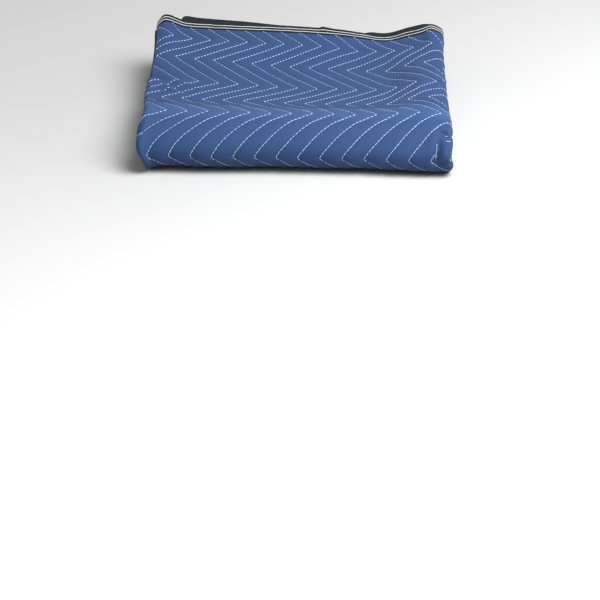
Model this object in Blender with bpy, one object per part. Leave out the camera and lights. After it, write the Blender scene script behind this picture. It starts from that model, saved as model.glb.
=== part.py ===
"""A quilted moving blanket, folded in four across and in four along, lying flat.

Every piece is first modelled on the flat blanket, in (u, v, w): u across it, v along it
and w through it. Then each of its points goes through three steps:
  1. across: four panels back and forth, which makes a pack four layers thick;
  2. along: the pack back and forth in four, with one tall roll at the front;
  3. settled: the heights, the flare and the sag of soft cloth that has been handled.
Neighbouring layers share their grid lines, so they stay the same distance apart.
Metres, +Z up. The roll faces -Y and the bound edges lie at the back of the top, at +Y.
"""
import math
from collections import namedtuple

import bmesh
import bpy
import numpy as np
from mathutils import Vector

MM = 0.001

# The blanket as cut and sewn
WIDTH = 1829 * MM
LENGTH = 1992 * MM
CLOTH = 3.0 * MM
QUILT_PITCH = 31.1 * MM
QUILT_FAN = 0.22 * MM
QUILT_SWING = 80.4 * MM
QUILT_ROW = 96 * MM
FIRST_ROW = 68 * MM
QUILT_OFFSET = 20.5 * MM
QUILT_DRIFT = 1.05 * MM
SEAM_DIP = 0.7 * MM
PUFF = 0.9 * MM
FADE_SIDE = 4 * MM
FADE_END = 12 * MM

# The tape round its edges, a U that holds the pressed edge of the cloth
TAPE_WIDTH = 20 * MM
TAPE = 0.6 * MM
PRESSED = 1.4 * MM
GAP = 0.3 * MM
STEP = 0.7 * MM

# The folds
LAYER_PITCH = 3.7 * MM
PACK_PITCH = 4 * LAYER_PITCH + 0.4 * MM
EDGE_REACH = 13 * MM
FREE_REACH = 6.5 * MM
ROLL_STRETCH = 0.5
FOLD_STEPS = {0.5: 4, 1.5: 6}
ROLL_STEPS = {0.5: 4, 1.5: 8}
TAPE_COLUMN = TAPE_WIDTH + GAP + STEP / 2 - FREE_REACH
COLUMNS = (TAPE_COLUMN, 46 * MM, 150 * MM, 283 * MM, 341 * MM, 427 * MM)
ROWS_ON_TOP = 5
RUN_SAMPLES = 400

# How near two lines or two corners are taken as one, which faces count as facing up,
# and how the corners of a face are ranked when it is parted in two
LINE_PLACES = 7
SAME_POINT = 0.02 * MM
FACING = 0.5
CORNER_RANK = Vector((1.0, 1.0, 0.3))

# The heap from front to back: its reach to each side, and the height of its top
# at eleven places across, all in millimetres
FIELDS = (
    "edge_l", "crest_l", "bank_l", "middle", "brow", "slope", "dip", "bank_r", "brow_r", "crest_r", "edge_r"
)
PLACES = (-1.0, -0.91, -0.78, 0.0, 0.25, 0.40, 0.57, 0.76, 0.84, 0.905, 1.0)
Section = namedtuple("Section", ("behind", "left", "right", *FIELDS))
SECTIONS = (
    Section(0, 237, 230, 66, 70, 69, 66, 66, 66, 66, 66, 66, 66, 64),
    Section(40, 238, 231, 72, 75, 74, 71, 70, 70, 70, 72, 73, 72, 67),
    Section(75, 236, 231, 73, 78, 77, 73, 73, 73, 74, 77, 78, 77, 66),
    Section(170, 240, 230, 64, 67, 66, 58, 57, 57, 58, 68, 71, 70, 63),
    Section(265, 245, 231, 62, 66, 65, 53, 52, 51, 52, 64, 68, 67, 61),
    Section(360, 247, 233, 74, 78, 74, 58, 55, 53, 53, 65, 69, 68, 60),
    Section(455, 253, 235, 79, 87, 79, 69, 64, 59, 58, 65, 70, 77, 67),
    Section(519, 258, 238, 86, 101, 88, 82, 77, 72, 67, 79, 84, 88, 79),
)

# How far the roll's front leans out over its foot, in millimetres, by place across
Front = namedtuple("Front", "place out")
FRONT_EASE = 0.4
FRONTS = (
    Front(-1.0, 1),
    Front(-0.5, 2),
    Front(0.0, 1),
    Front(0.4, 4),
    Front(0.87, 13),
    Front(1.0, 15),
)

# How far the second layer's bound edge slides out behind the top one, by the length
# along it from its right-hand fold
Slide = namedtuple("Slide", "along out")
SLIDE_DEPTH = 110 * MM
SLIDES = (
    Slide(0, 0),
    Slide(15, 0),
    Slide(40, 12),
    Slide(110, 12),
    Slide(140, 0),
    Slide(180, 0),
    Slide(260, 9),
    Slide(320, 12),
    Slide(395, 13),
    Slide(412, 12),
    Slide(440, 0),
)

# The stagger of the packs, sideways, by height in the unsettled pile, and how far the
# roll's left end draws in at that height
Stagger = namedtuple("Stagger", "height shift tuck")
STAGGERS = (
    Stagger(0, 0, 12),
    Stagger(15, 2.5, 9),
    Stagger(30, -2.5, 6),
    Stagger(45, 1.5, 0),
    Stagger(61, 0, 9),
)
TUCK_DEPTH = 180 * MM

ARCS = math.pi * (0.5 + 0.5 + 1.5)
PANEL_ACROSS = (WIDTH - ARCS * LAYER_PITCH - 2 * FREE_REACH) / 4
PANEL_ALONG = (LENGTH - ARCS * PACK_PITCH - 2 * EDGE_REACH) / 4
HALF_PACK = 1.5 * LAYER_PITCH + CLOTH / 2
ROLL = 1.5 * PACK_PITCH + HALF_PACK
FLAT_HEIGHT = 2 * ROLL
ROLL_FRONT = ROLL * (1 + ROLL_STRETCH)
HEAP_DEPTH = SECTIONS[-1].behind * MM
HEAP_CENTRE = (-8.8 * MM, 259.8 * MM)

Stretch = namedtuple("Stretch", "start length at heading radius side")


def fold_path(start, heading, legs, bends):
    """Straight legs joined by half turns, as stretches found by the length walked."""
    stretches = []
    at = np.array(start)
    walked = 0.0
    for leg, (radius, side) in zip(legs, (*bends, (0.0, 1))):
        stretches.append(Stretch(walked, leg, at, heading, 0.0, side))
        at = at + leg * np.array((math.cos(heading), math.sin(heading)))
        walked += leg
        if radius:
            turn = math.pi * radius
            stretches.append(Stretch(walked, turn, at, heading, radius, side))
            across = np.array((-math.sin(heading), math.cos(heading)))
            at = at + 2 * radius * side * across
            heading += side * math.pi
            walked += turn
    return stretches


ACROSS = fold_path(
    (-PANEL_ACROSS / 2 - FREE_REACH, -0.5 * LAYER_PITCH),
    0.0,
    [PANEL_ACROSS + FREE_REACH, PANEL_ACROSS, PANEL_ACROSS, PANEL_ACROSS + FREE_REACH],
    [(0.5 * LAYER_PITCH, 1), (0.5 * LAYER_PITCH, -1), (1.5 * LAYER_PITCH, -1)],
)
ALONG = fold_path(
    (ROLL_FRONT + PANEL_ALONG + EDGE_REACH, 2 * ROLL - HALF_PACK),
    math.pi,
    [PANEL_ALONG + EDGE_REACH, PANEL_ALONG, PANEL_ALONG, PANEL_ALONG + EDGE_REACH],
    [(1.5 * PACK_PITCH, 1), (0.5 * PACK_PITCH, 1), (0.5 * PACK_PITCH, -1)],
)
SHOWN = ACROSS[4]
SHOWN_MIDDLE = SHOWN.start + SHOWN.length / 2
ROLL_BEND = ALONG[1]


def walk(path, length):
    """Points and headings on a path at the given lengths."""
    starts = np.array([stretch.start for stretch in path])
    found = np.clip(np.searchsorted(starts, length, side="right") - 1, 0, len(path) - 1)
    past = length - starts[found]
    at = np.array([stretch.at for stretch in path])[found]
    heading = np.array([stretch.heading for stretch in path])[found]
    radius = np.array([stretch.radius for stretch in path])[found]
    side = np.array([stretch.side for stretch in path])[found]
    curved = radius > 0
    bend = np.where(curved, radius, 1.0)
    turned = np.where(curved, heading + side * past / bend, heading)
    swing = np.where(curved, side * bend, 0.0)
    forward = np.where(curved, 0.0, past)
    first = at[:, 0] + forward * np.cos(heading) + swing * (np.sin(turned) - np.sin(heading))
    second = at[:, 1] + forward * np.sin(heading) - swing * (np.cos(turned) - np.cos(heading))
    return first, second, turned


def smooth(at, stations, values):
    """A curve through the values at the stations that never overshoots them.

    values holds one number for each station or, where it has two axes, one row of such
    numbers for each point of `at`.
    """
    stations = np.asarray(stations, dtype=float)
    per_point = values.ndim == 2
    rises = np.diff(values, axis=-1) / np.diff(stations)
    before, beyond = rises[..., :-1], rises[..., 1:]
    climbing = before * beyond > 0
    total = np.where(climbing, before + beyond, 1.0)
    inner = np.where(climbing, 2 * before * beyond / total, 0.0)
    slopes = np.concatenate((rises[..., :1], inner, rises[..., -1:]), axis=-1)
    after = np.clip(np.searchsorted(stations, at), 1, len(stations) - 1)
    width = stations[after] - stations[after - 1]
    t = np.clip((at - stations[after - 1]) / width, 0.0, 1.0)
    rows = np.arange(len(t))
    low, high = ((rows, after - 1), (rows, after)) if per_point else (after - 1, after)
    rise = t * t * (3 - 2 * t)
    leave = t * (1 - t) ** 2 * width
    arrive = t * t * (t - 1) * width
    return values[low] * (1 - rise) + values[high] * rise + slopes[low] * leave + slopes[high] * arrive


def column(rows, field):
    """One named column of a table in millimetres, in metres."""
    return np.array([getattr(row, field) for row in rows]) * MM


def slid(u, v):
    """Slide the second layer's edge out behind the top one; the shift soon fades."""
    along = u - ACROSS[2].start
    out = smooth(along, column(SLIDES, "along"), column(SLIDES, "out"))
    out = np.where((along > 0) & (along < column(SLIDES, "along")[-1]), out, 0.0)
    fade = np.clip(1 - v / SLIDE_DEPTH, 0.0, 1.0)
    return v - out * fade**2


def settle(x, y, z):
    """Let the square pile sink into the heap that SECTIONS describes."""
    half = PANEL_ACROSS / 2 + HALF_PACK
    place = np.clip(x / half, -1.0, 1.0)
    ahead = np.clip(ROLL_FRONT - y, 0.0, None)
    out = smooth(place, [front.place for front in FRONTS], column(FRONTS, "out"))
    near = np.clip(ahead / (FRONT_EASE * ROLL), 0.0, 1.0)
    y = np.where(ahead > 0, ROLL_FRONT - ahead * (1 + ROLL_STRETCH * ahead / ROLL), y)
    y = y - out * near * near * (3 - 2 * near) * (1 - (z / FLAT_HEIGHT) ** 2)
    behind = np.clip(y, 0.0, HEAP_DEPTH)
    stations = column(SECTIONS, "behind")
    heights = np.stack([smooth(behind, stations, column(SECTIONS, f)) for f in FIELDS], axis=1)
    left = smooth(behind, stations, column(SECTIONS, "left")) / half
    right = smooth(behind, stations, column(SECTIONS, "right")) / half
    top = smooth(place, PLACES, heights)
    level, levels = np.clip(z, 0.0, FLAT_HEIGHT), column(STAGGERS, "height")
    shift = smooth(level, levels, column(STAGGERS, "shift"))
    end = np.clip(1 - behind / TUCK_DEPTH, 0.0, 1.0)
    left = left - smooth(level, levels, column(STAGGERS, "tuck")) / half * end * end * (3 - 2 * end)
    x = x * np.where(x < 0, left, right) + shift
    return x - HEAP_CENTRE[0], y - HEAP_CENTRE[1], z * top / FLAT_HEIGHT


def folded(u, v, w):
    """Points of the flat blanket, carried into the folded one."""
    x, level, heading = walk(ACROSS, u)
    x = x - np.sin(heading) * w
    level = level + np.cos(heading) * w
    y, z, heading = walk(ALONG, slid(u, v))
    return settle(x, y + np.sin(heading) * level, z - np.cos(heading) * level)


def shown_line():
    """Points down the middle of the shown face, from the bound edge to under the roll."""
    grid = np.linspace(0.0, ROLL_BEND.start + ROLL_BEND.length, RUN_SAMPLES)
    here = np.full_like(grid, SHOWN_MIDDLE)
    _, y, z = folded(here, grid, np.full_like(grid, CLOTH / 2))
    steps = np.hypot(np.diff(y), np.diff(z))
    return grid, np.concatenate(([0.0], np.cumsum(steps)))


def run_along(v):
    """The length along the shown face from the bound edge to v, measured on the cloth."""
    grid, runs = shown_line()
    return np.interp(v, grid, runs)


def row_at(run):
    """The v of a quilting row, from its length along the shown face."""
    grid, runs = shown_line()
    return float(np.interp(run, runs, grid))


def spread(v, side):
    """How much wider the heap is than the square pile, on one side, at v."""
    middle = np.full_like(v, SHOWN_MIDDLE)
    quarter = side * PANEL_ACROSS / 4
    face = np.full_like(v, CLOTH / 2)
    near = folded(middle, v, face)[0]
    far = folded(middle + quarter, v, face)[0]
    return (far - near) / quarter


def zigzag(run):
    """The swing of a quilting line: to the right at the first row, to the left at the next."""
    phase = (run - FIRST_ROW) / (2 * QUILT_ROW)
    return QUILT_SWING * (0.5 - 2 * np.abs(phase - np.round(phase)))


def fan(run):
    """Where the middle line runs without its swing, and how far apart the lines are."""
    rows = (run - FIRST_ROW) / QUILT_ROW
    return QUILT_OFFSET - QUILT_DRIFT * rows, QUILT_PITCH + QUILT_FAN * rows


def line_at(v, number):
    """The u of quilting line `number` (halves are the crests between lines) at v."""
    run = run_along(v)
    middle, pitch = fan(run)
    offset = middle + number * pitch + zigzag(run)
    side = np.where(offset < 0, -1.0, 1.0)
    return SHOWN_MIDDLE + offset / spread(v, side)


def puffed(u, v):
    """The height that the padding lifts the shown face, or the seams draw it in."""
    side = np.where(u < SHOWN_MIDDLE, -1.0, 1.0)
    run = run_along(v)
    middle, pitch = fan(run)
    phase = ((u - SHOWN_MIDDLE) * spread(v, side) - middle - zigzag(run)) / pitch
    apart = 2 * np.abs(phase - np.round(phase))
    return (PUFF + SEAM_DIP) * np.sin(apart * math.pi / 2) - SEAM_DIP


def new_object(name, bm, material):
    """Turn a finished bmesh into an object that lies where it was modelled."""
    mesh = bpy.data.meshes.new(name)
    bm.to_mesh(mesh)
    bm.free()
    mesh.materials.append(material)
    item = bpy.data.objects.new(name, mesh)
    bpy.context.scene.collection.objects.link(item)
    return item


def new_material(name, colour, roughness):
    material = bpy.data.materials.new(name)
    material.use_nodes = True
    shader = material.node_tree.nodes["Principled BSDF"]
    shader.inputs["Base Color"].default_value = (*colour, 1.0)
    shader.inputs["Roughness"].default_value = roughness
    shader.inputs["Metallic"].default_value = 0.0
    return material


def grid_lines(path, stops, steps, pitch, first, lead=False):
    """Grid lines along a fold path: the same stops in every leg, and even steps in a turn.

    `first` says which way the first leg runs: 1 from the stops' own end, -1 towards it.
    `lead` says that the first and last legs are longer at the stops' own end.
    """
    lines = []
    way = first
    for stretch in path:
        if stretch.radius:
            count = steps[round(stretch.radius / pitch, 1)]
            lines += [stretch.start + stretch.length * i / count for i in range(count + 1)]
            way = -way
            continue
        extra = stretch.length - stops[-1] if lead else 0.0
        marks = [extra + stop for stop in stops]
        if way < 0:
            marks = [stretch.length - mark for mark in reversed(marks)]
        lines += [stretch.start + mark for mark in marks]
    total = path[-1].start + path[-1].length
    near = [TAPE + GAP, TAPE_WIDTH + GAP, TAPE_WIDTH + GAP + STEP]
    clear = near[-1] + STEP
    inner = [line for line in lines if clear < line < total - clear]
    ends = [*near, *[total - end for end in near]]
    return sorted({round(line, LINE_PLACES) for line in (*ends, *inner)})


def row_stops():
    """Rows of the grid in a panel, from the roll: the quilting's own, and one at the tape."""
    top = ALONG[0].length
    quilted = [top - row_at(FIRST_ROW + i * QUILT_ROW) for i in reversed(range(ROWS_ON_TOP))]
    return [*quilted, top - TAPE_WIDTH - GAP - STEP / 2]


def cut(bm, faces, points):
    """Cut the faces of one band along the straight line between two (u, v) points."""
    (u0, v0), (u1, v1) = points
    edges = {edge for face in faces for edge in face.edges}
    verts = {vert for face in faces for vert in face.verts}
    result = bmesh.ops.bisect_plane(
        bm,
        geom=[*verts, *edges, *faces],
        dist=SAME_POINT,
        plane_co=(u0, v0, 0.0),
        plane_no=(v1 - v0, u0 - u1, 0.0),
    )
    return [item for item in result["geom"] if isinstance(item, bmesh.types.BMFace)]


def shown_faces(bm, low, high):
    """The faces of the shown side, from the second fold to past the outer one, in a band."""
    start = ACROSS[3].start
    end = ACROSS[5].start + ACROSS[5].length
    found = []
    for face in bm.faces:
        middle = face.calc_center_median()
        if face.normal.z > FACING and low < middle.y < high and start < middle.x < end:
            found.append(face)
    return found


def cut_quilting(bm, v_lines):
    """Cut the shown side along its quilting rows, then along its lines and crests."""
    start = v_lines[2]
    end = ROLL_BEND.start + ROLL_BEND.length
    count = int(run_along(end) / QUILT_ROW)
    rows = [row_at(FIRST_ROW + i * QUILT_ROW) for i in range(count + 1)]
    rows = [row for row in rows if row < end]
    for row in rows[ROWS_ON_TOP:]:
        cut(bm, shown_faces(bm, start, end), ((0.0, row), (WIDTH, row)))
    levels = sorted({*rows[ROWS_ON_TOP:], *[v for v in v_lines if start <= v <= end]})
    reach = math.ceil((PANEL_ACROSS / 2 + QUILT_SWING) / QUILT_PITCH) + 1
    for low, high in zip(levels, levels[1:]):
        faces = shown_faces(bm, low, high)
        for number in np.arange(-reach, reach + 0.5, 0.5):
            ends = line_at(np.array([low, high]), number)
            faces = cut(bm, faces, ((ends[0], low), (ends[1], high)))
    return start, end


def split_quads(bm, place):
    """Part every four-sided face along the diagonal that its neighbours above use too."""
    for face in [face for face in bm.faces if len(face.verts) == 4]:
        corners = sorted(face.verts, key=lambda vert: vert[place].dot(CORNER_RANK))
        low, high = corners[0], corners[-1]
        if not any(low in edge.verts and high in edge.verts for edge in face.edges):
            bmesh.utils.face_split(face, low, high)
    bmesh.ops.triangulate(bm, faces=bm.faces[:], quad_method="BEAUTY", ngon_method="BEAUTY")


def fold_mesh(bm):
    """Note on every vertex of a flat piece its place in the folded blanket."""
    place = bm.verts.layers.float_vector.new("place")
    flat = np.array([vert.co[:] for vert in bm.verts])
    places = np.stack(folded(flat[:, 0], flat[:, 1], flat[:, 2]), axis=1)
    for vert, there in zip(bm.verts, places):
        vert[place] = there
    split_quads(bm, place)
    return place


def finish_fold(bm, place):
    """Put every vertex where it was noted to go."""
    for vert in bm.verts:
        vert.co = vert[place]
    bmesh.ops.triangulate(bm, faces=bm.faces[:], quad_method="BEAUTY", ngon_method="BEAUTY")
    bm.verts.layers.float_vector.remove(place)
    bmesh.ops.recalc_face_normals(bm, faces=bm.faces[:])


def make_cloth(material):
    """The quilted cloth: one sheet, pressed thin under the tape, puffed where it shows."""
    columns = (0.0, *COLUMNS, PANEL_ACROSS)
    u_lines = grid_lines(ACROSS, columns, FOLD_STEPS, LAYER_PITCH, 1, lead=True)
    v_lines = grid_lines(ALONG, (0.0, *row_stops(), PANEL_ALONG), ROLL_STEPS, PACK_PITCH, -1)
    bm = bmesh.new()
    across = len(u_lines) - 1
    along = len(v_lines) - 1
    bmesh.ops.create_grid(bm, x_segments=across, y_segments=along, size=0.5)
    for vert in bm.verts:
        vert.co.x = u_lines[round((vert.co.x + 0.5) * across)]
        vert.co.y = v_lines[round((vert.co.y + 0.5) * along)]
        vert.co.z = CLOTH / 2
    bmesh.ops.solidify(bm, geom=bm.faces[:], thickness=CLOTH)
    bmesh.ops.recalc_face_normals(bm, faces=bm.faces[:])
    bm.normal_update()
    pressed = TAPE_WIDTH + GAP + STEP / 2
    for vert in bm.verts:
        u, v, w = vert.co
        if min(u, WIDTH - u, v, LENGTH - v) < pressed:
            vert.co.z = math.copysign(PRESSED / 2, w)
    place = fold_mesh(bm)
    start, end = cut_quilting(bm, v_lines)

    flat = np.array([vert.co[:] for vert in bm.verts])
    u, v = flat[:, 0], flat[:, 1]
    left = ACROSS[3].start
    right = ACROSS[5].start + ACROSS[5].length
    fade = np.clip(np.minimum(u - left, right - u) / FADE_SIDE, 0.0, 1.0)
    fade = fade * np.clip(np.minimum(v - start, end - v) / FADE_END, 0.0, 1.0)
    lift = np.where(flat[:, 2] > 0, puffed(u, v) * fade, 0.0)
    face = np.full_like(u, CLOTH / 2)
    raised = np.stack(folded(u, v, face + lift), axis=1) - np.stack(folded(u, v, face), axis=1)
    for vert, shift in zip(bm.verts, raised):
        vert[place] += Vector(shift)
    finish_fold(bm, place)
    return new_object("quilted_cloth", bm, material)


def make_tape(name, along_u, far, lines, material):
    """One length of tape: its U section, drawn along an edge of the flat blanket."""
    outer = PRESSED / 2 + GAP + TAPE
    inner = PRESSED / 2 + GAP
    section = (
        (0.0, -outer),
        (TAPE_WIDTH, -outer),
        (TAPE_WIDTH, -inner),
        (TAPE, -inner),
        (TAPE, inner),
        (TAPE_WIDTH, inner),
        (TAPE_WIDTH, outer),
        (0.0, outer),
    )
    total = LENGTH if along_u else WIDTH
    bm = bmesh.new()
    corners = []
    for depth, height in section:
        depth = total - depth if far else depth
        place = (lines[0], depth, height) if along_u else (depth, lines[0], height)
        corners.append(bm.verts.new(place))
    end = bm.faces.new(corners)
    for here, there in zip(lines, lines[1:]):
        result = bmesh.ops.extrude_face_region(bm, geom=[end])
        if here != lines[0]:
            bmesh.ops.delete(bm, geom=[end], context="FACES_ONLY")
        moved = [item for item in result["geom"] if isinstance(item, bmesh.types.BMVert)]
        end = next(item for item in result["geom"] if isinstance(item, bmesh.types.BMFace))
        step = (there - here, 0.0, 0.0) if along_u else (0.0, there - here, 0.0)
        bmesh.ops.translate(bm, verts=moved, vec=step)
    finish_fold(bm, fold_mesh(bm))
    return new_object(name, bm, material)


def tape_lines(path, stops, steps, pitch, first, trim):
    """Where the sections of a tape stand: the cloth's grid lines, out to the tape's ends."""
    total = path[-1].start + path[-1].length
    lines = grid_lines(path, stops, steps, pitch, first, path is ACROSS)
    inner = [line for line in lines if trim + STEP / 2 < line < total - trim - STEP / 2]
    return [trim, *inner, total - trim]


def make_blanket():
    cloth = new_material("quilted_blue", (0.065, 0.12, 0.32), 0.85)
    tape = new_material("charcoal_tape", (0.028, 0.034, 0.035), 0.8)
    make_cloth(cloth)
    across = (0.0, *COLUMNS, PANEL_ACROSS)
    along = (0.0, *row_stops(), PANEL_ALONG)
    ends = tape_lines(ACROSS, across, FOLD_STEPS, LAYER_PITCH, 1, 0.0)
    sides = tape_lines(ALONG, along, ROLL_STEPS, PACK_PITCH, -1, TAPE_WIDTH + GAP)
    make_tape("binding_top_edge", True, False, ends, tape)
    make_tape("binding_inner_edge", True, True, ends, tape)
    make_tape("binding_side_a", False, False, sides, tape)
    make_tape("binding_side_b", False, True, sides, tape)


for item in list(bpy.data.objects):
    bpy.data.objects.remove(item)
make_blanket()
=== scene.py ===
# %% [markdown]
# # A folded moving blanket
# The blanket is one quilted cloth with a tape sewn round its edges. It is folded in four
# across and in four along, and lies with a tall soft roll at its front. Everything here is
# modelled on the flat blanket first, where it is easy to measure, and then carried through
# the same folds as the solids of the frame.

# %% Load the frame
import math
from collections import namedtuple

import bmesh
import bpy
import numpy as np
from mathutils import Matrix, Vector
from mathutils.bvhtree import BVHTree


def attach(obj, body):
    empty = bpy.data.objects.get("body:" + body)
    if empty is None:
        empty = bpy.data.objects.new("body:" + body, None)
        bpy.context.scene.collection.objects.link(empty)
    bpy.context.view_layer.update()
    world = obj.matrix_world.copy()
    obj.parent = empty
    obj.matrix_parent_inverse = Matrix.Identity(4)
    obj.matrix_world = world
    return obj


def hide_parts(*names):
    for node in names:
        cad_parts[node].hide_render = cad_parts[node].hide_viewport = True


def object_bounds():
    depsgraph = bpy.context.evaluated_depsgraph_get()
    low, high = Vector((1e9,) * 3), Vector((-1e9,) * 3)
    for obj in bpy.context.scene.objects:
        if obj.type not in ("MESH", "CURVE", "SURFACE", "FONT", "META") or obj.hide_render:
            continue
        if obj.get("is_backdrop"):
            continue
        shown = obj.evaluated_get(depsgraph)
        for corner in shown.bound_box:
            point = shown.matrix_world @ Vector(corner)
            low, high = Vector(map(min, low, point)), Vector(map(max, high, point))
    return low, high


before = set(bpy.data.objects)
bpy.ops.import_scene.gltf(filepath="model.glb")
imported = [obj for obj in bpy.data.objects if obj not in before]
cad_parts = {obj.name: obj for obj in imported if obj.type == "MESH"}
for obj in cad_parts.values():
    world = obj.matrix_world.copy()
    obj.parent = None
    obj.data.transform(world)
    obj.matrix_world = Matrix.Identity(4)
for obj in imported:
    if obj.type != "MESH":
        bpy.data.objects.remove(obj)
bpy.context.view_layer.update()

MM = 0.001
print("frame nodes:", sorted(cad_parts))

# %% [markdown]
# ## Into the scene
# Every mesh, lamp and camera needs an object that holds it. The objects stay at the origin,
# unturned, unless they are moved on purpose, so one small helper makes them all.

# %% Add objects
def add_object(name, data):
    """A new object for a mesh, lamp or camera, at the origin of the scene."""
    item = bpy.data.objects.new(name, data)
    bpy.context.scene.collection.objects.link(item)
    return item


# %% [markdown]
# ## The camera
# A long lens stands about 2.8 m in front of the blanket, a little to its right, and looks
# down at it. The camera is placed from one known point: the foot of the roll, and where in
# the square picture that foot has to appear. That keeps the lens straight, with no shift,
# and the camera can be swung round the blanket without the picture sliding.

# %% Place the camera
PICTURE = 600
FOCAL = 1866
SENSOR = 36.0
YAW = math.radians(1.66)
PITCH = math.radians(23.96)
DISTANCE = 2.780
FOOT = Vector((7.3 * MM, -234.8 * MM, 3 * MM))
FOOT_PIXEL = (295, 168)
FAR_CLIP = 50.0

forward = Vector((
    -math.sin(YAW) * math.cos(PITCH),
    math.cos(YAW) * math.cos(PITCH),
    -math.sin(PITCH),
))
right = Vector((math.cos(YAW), math.sin(YAW), 0.0))
up = right.cross(forward)
aside = (FOOT_PIXEL[0] - PICTURE / 2) / FOCAL
above = (PICTURE / 2 - FOOT_PIXEL[1]) / FOCAL

lens = bpy.data.cameras.new("lens")
lens.sensor_width = SENSOR
lens.lens = SENSOR * FOCAL / PICTURE
lens.clip_end = FAR_CLIP
camera = add_object("camera", lens)
bpy.context.scene.camera = camera
camera.location = FOOT - DISTANCE * (forward + aside * right + above * up)
camera.rotation_mode = "QUATERNION"
camera.rotation_quaternion = forward.to_track_quat("-Z", "Y")
print("camera at", [round(value, 3) for value in camera.location], "lens", round(lens.lens, 1))

# %% [markdown]
# ## The blanket's sizes
# These are the sizes of the flat blanket, its quilting, its tape and its folds. The cloth,
# the tape and the folds have the sizes that the frame's solids were made from, so the fine
# cloth lands on the solids. The quilting turns every QUILT_ROW along the cloth and swings by
# QUILT_SWING across it. Its lines drift and fan by a little at each row, and between
# PULL_START and PULL_END, round the roll, they are pulled aside, wider apart and bowed.

# %% Name the sizes
WIDTH = 1829 * MM
LENGTH = 1992 * MM
CLOTH = 3.0 * MM
PRESSED = 1.4 * MM
TAPE_WIDTH = 20 * MM
TAPE = 0.6 * MM
GAP = 0.3 * MM
QUILT_PITCH = 31.1 * MM
QUILT_FAN = 0.22 * MM
QUILT_SWING = 80.4 * MM
QUILT_ROW = 96 * MM
FIRST_ROW = 68 * MM
QUILT_OFFSET = 20.5 * MM
QUILT_DRIFT = 1.05 * MM
PULL_START = FIRST_ROW + 4 * QUILT_ROW
PULL_END = FIRST_ROW + 5 * QUILT_ROW
PULL_ASIDE = 5.0 * MM
PULL_WIDER = 0.42 * MM
BOW = 5.5 * MM
SEAM_DIP = 1.0 * MM
PUFF = 1.0 * MM

LAYER_PITCH = 3.7 * MM
PACK_PITCH = 4 * LAYER_PITCH + 0.4 * MM
EDGE_REACH = 13 * MM
FREE_REACH = 6.5 * MM
ROLL_STRETCH = 0.5
ARCS = math.pi * (0.5 + 0.5 + 1.5)
PANEL_ACROSS = (WIDTH - ARCS * LAYER_PITCH - 2 * FREE_REACH) / 4
PANEL_ALONG = (LENGTH - ARCS * PACK_PITCH - 2 * EDGE_REACH) / 4
HALF_PACK = 1.5 * LAYER_PITCH + CLOTH / 2
ROLL = 1.5 * PACK_PITCH + HALF_PACK
FLAT_HEIGHT = 2 * ROLL
ROLL_FRONT = ROLL * (1 + ROLL_STRETCH)
HEAP_CENTRE = (-8.8 * MM, 259.8 * MM)
print("panels in mm:", round(PANEL_ACROSS / MM, 1), "by", round(PANEL_ALONG / MM, 1))

# %% [markdown]
# ## Fold paths
# A fold is a walk: a straight leg, a half turn, the next leg back. One path folds the
# blanket across, a second one folds the pack along. Each path is kept as a short list of
# stretches, and a point of the cloth finds its stretch by the length walked so far.

# %% Describe the folds as paths
Stretch = namedtuple("Stretch", "start length at heading radius side")


def fold_path(start, heading, legs, bends):
    """Straight legs joined by half turns, as stretches found by the length walked."""
    stretches = []
    at = np.array(start)
    walked = 0.0
    for leg, (radius, side) in zip(legs, (*bends, (0.0, 1))):
        stretches.append(Stretch(walked, leg, at, heading, 0.0, side))
        at = at + leg * np.array((math.cos(heading), math.sin(heading)))
        walked += leg
        if radius:
            turn = math.pi * radius
            stretches.append(Stretch(walked, turn, at, heading, radius, side))
            across = np.array((-math.sin(heading), math.cos(heading)))
            at = at + 2 * radius * side * across
            heading += side * math.pi
            walked += turn
    return stretches


ACROSS = fold_path(
    (-PANEL_ACROSS / 2 - FREE_REACH, -0.5 * LAYER_PITCH),
    0.0,
    [PANEL_ACROSS + FREE_REACH, PANEL_ACROSS, PANEL_ACROSS, PANEL_ACROSS + FREE_REACH],
    [(0.5 * LAYER_PITCH, 1), (0.5 * LAYER_PITCH, -1), (1.5 * LAYER_PITCH, -1)],
)
ALONG = fold_path(
    (ROLL_FRONT + PANEL_ALONG + EDGE_REACH, 2 * ROLL - HALF_PACK),
    math.pi,
    [PANEL_ALONG + EDGE_REACH, PANEL_ALONG, PANEL_ALONG, PANEL_ALONG + EDGE_REACH],
    [(1.5 * PACK_PITCH, 1), (0.5 * PACK_PITCH, 1), (0.5 * PACK_PITCH, -1)],
)
SHOWN_FROM = ACROSS[3].start
SHOWN_TO = ACROSS[5].start + ACROSS[5].length
SHOWN_MIDDLE = ACROSS[4].start + ACROSS[4].length / 2
ROLL_END = ALONG[1].start + ALONG[1].length
print("stretches:", len(ACROSS), "across and", len(ALONG), "along")


# %% [markdown]
# Walking is one function for every point at once. It looks up the stretch that each length
# falls in and goes on from there, straight on a leg and round a circle in a turn.

# %% Walk a path
def walk(path, length):
    """Points and headings on a path at the given lengths."""
    starts = np.array([stretch.start for stretch in path])
    found = np.clip(np.searchsorted(starts, length, side="right") - 1, 0, len(path) - 1)
    past = length - starts[found]
    at, heading, radius, side = (
        np.array([getattr(stretch, field) for stretch in path])[found]
        for field in ("at", "heading", "radius", "side")
    )
    curved = radius > 0
    bend = np.where(curved, radius, 1.0)
    turned = np.where(curved, heading + side * past / bend, heading)
    swing = np.where(curved, side * bend, 0.0)
    onward = np.where(curved, 0.0, past)
    first = at[:, 0] + onward * np.cos(heading) + swing * (np.sin(turned) - np.sin(heading))
    second = at[:, 1] + onward * np.sin(heading) - swing * (np.cos(turned) - np.cos(heading))
    return first, second, turned


edges = walk(ACROSS, np.array([0.0, WIDTH]))[0]
print("the two side edges end at x in mm:", np.round(edges / MM, 1))

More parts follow.
